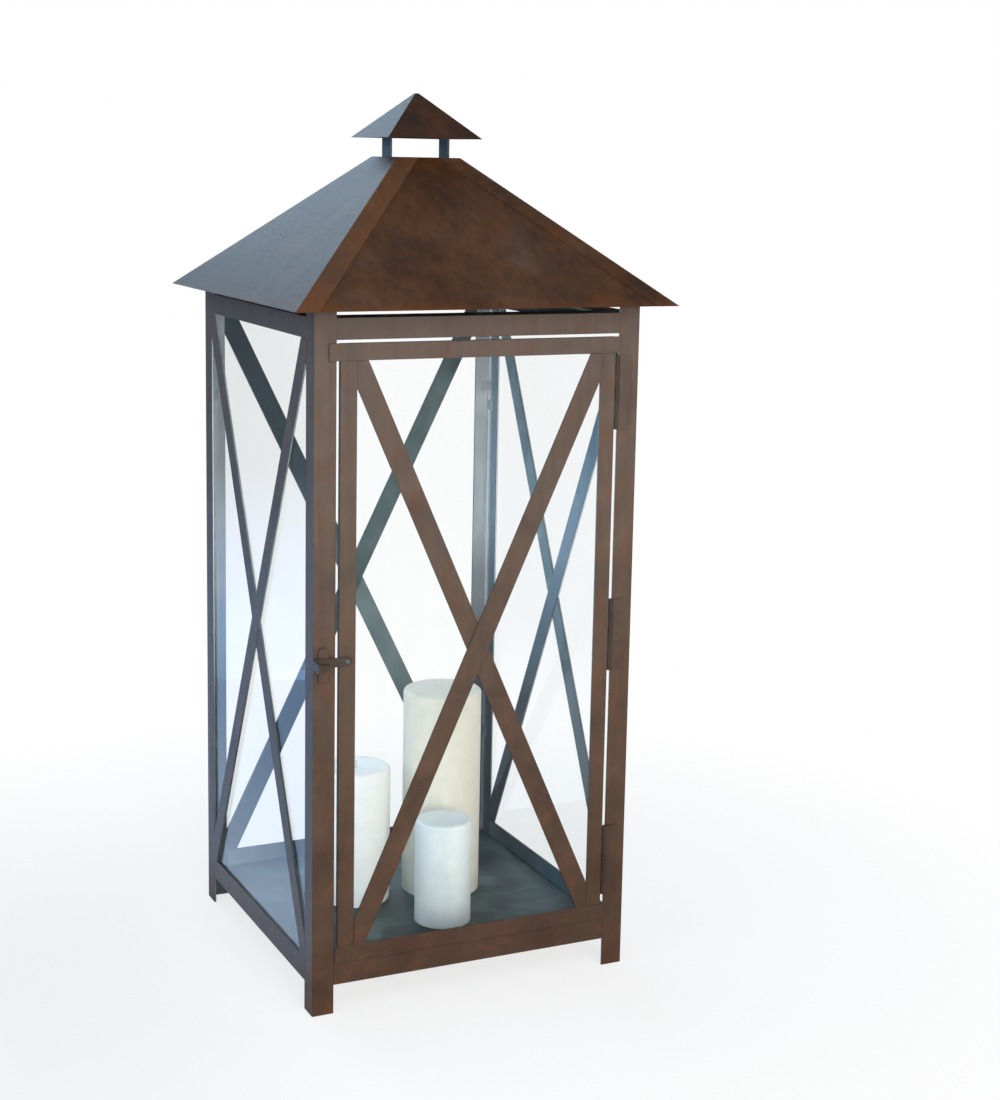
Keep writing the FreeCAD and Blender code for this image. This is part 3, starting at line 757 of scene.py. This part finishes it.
# Welds that show: along the hinge leaves on the post, and beside the keeper
leaf_starts = []
for place in HINGE_PLACES:
    low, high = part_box("hinge_%s_post_leaf" % place)
    bottom = low.z + LEAF_BEAD_INSET
    top = high.z - LEAF_BEAD_INSET - LEAF_BEAD
    for z in (bottom, (bottom + top) / 2, top):
        leaf_starts.append((high.x, high.y - BEAD_STANDOFF, z))
weld_run("hinge_leaf_welds", "frame", leaf_starts, LEAF_BEAD)
low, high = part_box("latch_keeper")
keeper_starts = [(x, high.y - BEAD_STANDOFF, low.z + rise)
                 for x in (low.x, high.x) for rise in KEEPER_BEAD_RISES]
weld_run("keeper_welds", "frame", keeper_starts, KEEPER_BEAD)


def seen_straight(tree):
    """1 for what the eye sees directly or straight through glass, and 0 for everything else."""
    by_eye = node(tree, "LightPath", out="Is Camera Ray")
    through_glass = node(tree, "LightPath", out="Is Transmission Ray")
    mirrored = node(tree, "LightPath", out="Glossy Depth")
    straight = node(tree, "Math", {0: through_glass, 1: mirrored}, operation="SUBTRACT", use_clamp=True)
    return node(tree, "Math", {0: by_eye, 1: straight}, operation="MAXIMUM")


def studio_floor():
    """White to the eye but for the shadow; pale near the lantern, grey far out and grey-blue on the left."""
    select_none()
    bpy.ops.mesh.primitive_plane_add(size=FLOOR_WIDTH, location=(0, 0, 0))
    floor = bpy.context.active_object
    floor.name = "studio_floor"
    floor_paint, tree, place = new_material("pale_studio_floor")
    distance = node(tree, "VectorMath", {0: place}, "Value", operation="LENGTH")
    across = node(tree, "SeparateXYZ", {0: place}, "X")
    tone = tint(tree, "f1f0ee", "7a8088", distance, PALE_TO, GREY_FROM, 1.0)
    tone = tint(tree, tone, "7f90a6", across, LEFT_FROM, LEFT_FULL, 0.9)
    pale = node(tree, "BsdfPrincipled", {"Base Color": tone, "Roughness": 0.85, "Specular IOR Level": 0.1})
    white = node(tree, "Emission", {"Color": (1, 1, 1, 1), "Strength": 1.0})
    far_share = node(tree, "MapRange", {0: distance, 1: SHADOW_FULL, 2: SHADOW_TO, 3: SHADOW_WHITE, 4: 1.0})
    white_share = node(tree, "Math", {0: seen_straight(tree), 1: far_share}, operation="MULTIPLY")
    node(tree, "OutputMaterial", {"Surface": node(tree, "MixShader", {0: white_share, 1: pale, 2: white})})
    floor.data.materials.append(floor_paint)


def studio_world():
    """A white backdrop to the eye and in mirror images of what is behind, soft light for everything else."""
    world = bpy.data.worlds.new("studio")
    bpy.context.scene.world = world
    world.use_nodes = True
    tree = world.node_tree
    tree.nodes.clear()
    direction = node(tree, "TexCoord", out="Generated")
    across = node(tree, "SeparateXYZ", {0: direction}, "X")
    depth = node(tree, "SeparateXYZ", {0: direction}, "Y")
    up = node(tree, "SeparateXYZ", {0: direction}, "Z")
    across_and_up = node(tree, "Math", {0: across, 1: up}, operation="ADD")
    behind = node(tree, "MapRange", {0: depth, 1: BEHIND_FROM, 2: BEHIND_FULL, 3: 0.0, 4: 1.0})
    off_left = node(tree, "MapRange", {0: across_and_up, 1: OFF_LEFT_FROM, 2: OFF_LEFT_FULL, 3: 0.0, 4: 1.0})
    backdrop = node(tree, "Math", {0: behind, 1: off_left}, operation="MULTIPLY")
    mirrored = node(tree, "LightPath", out="Glossy Depth")
    mirrored_behind = node(tree, "Math", {0: mirrored, 1: backdrop}, operation="MULTIPLY", use_clamp=True)
    white_share = node(tree, "Math", {0: seen_straight(tree), 1: mirrored_behind}, operation="MAXIMUM")
    soft = node(tree, "Background", {"Color": "e6eeff", "Strength": 0.28})
    white = node(tree, "Background", {"Color": (1, 1, 1, 1), "Strength": 1.0})
    node(tree, "OutputWorld", {"Surface": node(tree, "MixShader", {0: white_share, 1: soft, 2: white})})


def soft_box(name, location, aim, width, height, colour, power):
    """Large area lamp that lights and shows in reflections, but isn't seen itself."""
    data = bpy.data.lights.new(name, "AREA")
    data.shape = "RECTANGLE"
    data.size = width
    data.size_y = height
    data.color = paint(colour)[:3]
    data.energy = power
    lamp = bpy.data.objects.new(name, data)
    bpy.context.scene.collection.objects.link(lamp)
    lamp.location = location
    lamp.rotation_euler = (Vector(aim) - Vector(location)).to_track_quat("-Z", "Y").to_euler()
    lamp.visible_camera = False
    lamp.visible_transmission = False
    return lamp


def fade_upwards(lamp):
    """Let a lamp fade out towards its top, so that its mirror image in a pane has no edge there."""
    lamp.data.use_nodes = True
    tree = lamp.data.node_tree
    tree.nodes.clear()
    rise = node(tree, "SeparateXYZ", {0: node(tree, "NewGeometry", out="Parametric")}, "Y")
    fade = node(tree, "MapRange", {0: rise, 1: FADE_FROM, 2: 1.0, 3: 1.0, 4: 0.0})
    node(tree, "OutputLight", {"Surface": node(tree, "Emission", {"Strength": fade})})


studio_floor()
studio_world()

# Warm light from the front, cool light from the left and from the sky behind
WARM = "fff6ec"
soft_box("front_soft_box", (0.5, -2.5, 2.3), (0, 0, 0.75), 2.2, 2.0, WARM, 30)
low_fill = soft_box("front_low_soft_box", (-0.4, -3.0, 0.9), (0, 0, 0.6), 1.8, 1.2, WARM, 62)
low_fill.visible_glossy = False
soft_box("left_fill_soft_box", (-2.7, -1.3, 1.5), (0, 0, 0.6), 2.0, 2.0, "bce0ff", 47)
soft_box("back_sky_soft_box", (-0.5, 3.4, 2.6), (0, 0, 1.0), 3.6, 2.0, "b8e0ff", 95)

# Cool cards that show in the panes and light nothing
COOL = "94c0f8"
left_card = soft_box("cool_left_card", (-0.85, 1.30, 0.22), (-0.25, 0.05, 0.25), 2.2, 0.46, COOL, 6)
side_card = soft_box("cool_side_card", (-1.9, 1.5, 0.8), (-0.2, 0, 0.6), 1.4, 1.4, COOL, 2)
floor_card = soft_box("cool_floor_card", (-0.72, 0.65, 0.003), (-0.72, 0.65, 1.0), 0.9, 1.5, COOL, 5.4)
for card in (left_card, side_card, floor_card):
    card.visible_diffuse = False
fade_upwards(left_card)

# Camera
lens = bpy.data.cameras.new("camera")
camera = bpy.data.objects.new("camera", lens)
bpy.context.scene.collection.objects.link(camera)
ahead = Vector((math.sin(YAW) * math.cos(DOWN), math.cos(YAW) * math.cos(DOWN), -math.sin(DOWN)))
level_right = Vector((math.cos(YAW), -math.sin(YAW), 0))
level_up = level_right.cross(ahead)
right = math.cos(ROLL) * level_right + math.sin(ROLL) * level_up
up = math.cos(ROLL) * level_up - math.sin(ROLL) * level_right
turn = Matrix((right, up, -ahead)).transposed().to_4x4()
camera.matrix_world = Matrix.Translation(CAMERA_PLACE) @ turn
lens.sensor_fit = "VERTICAL"
lens.sensor_height = SENSOR
lens.lens = FOCAL_PIXELS * SENSOR / FRAME_HEIGHT_PIXELS
lens.shift_y = (AXIS_ROW - FRAME_HEIGHT_PIXELS / 2) / FRAME_HEIGHT_PIXELS
bpy.context.scene.camera = camera
bpy.context.scene.view_settings.view_transform = "Standard"

select_none()
bpy.context.view_layer.update()
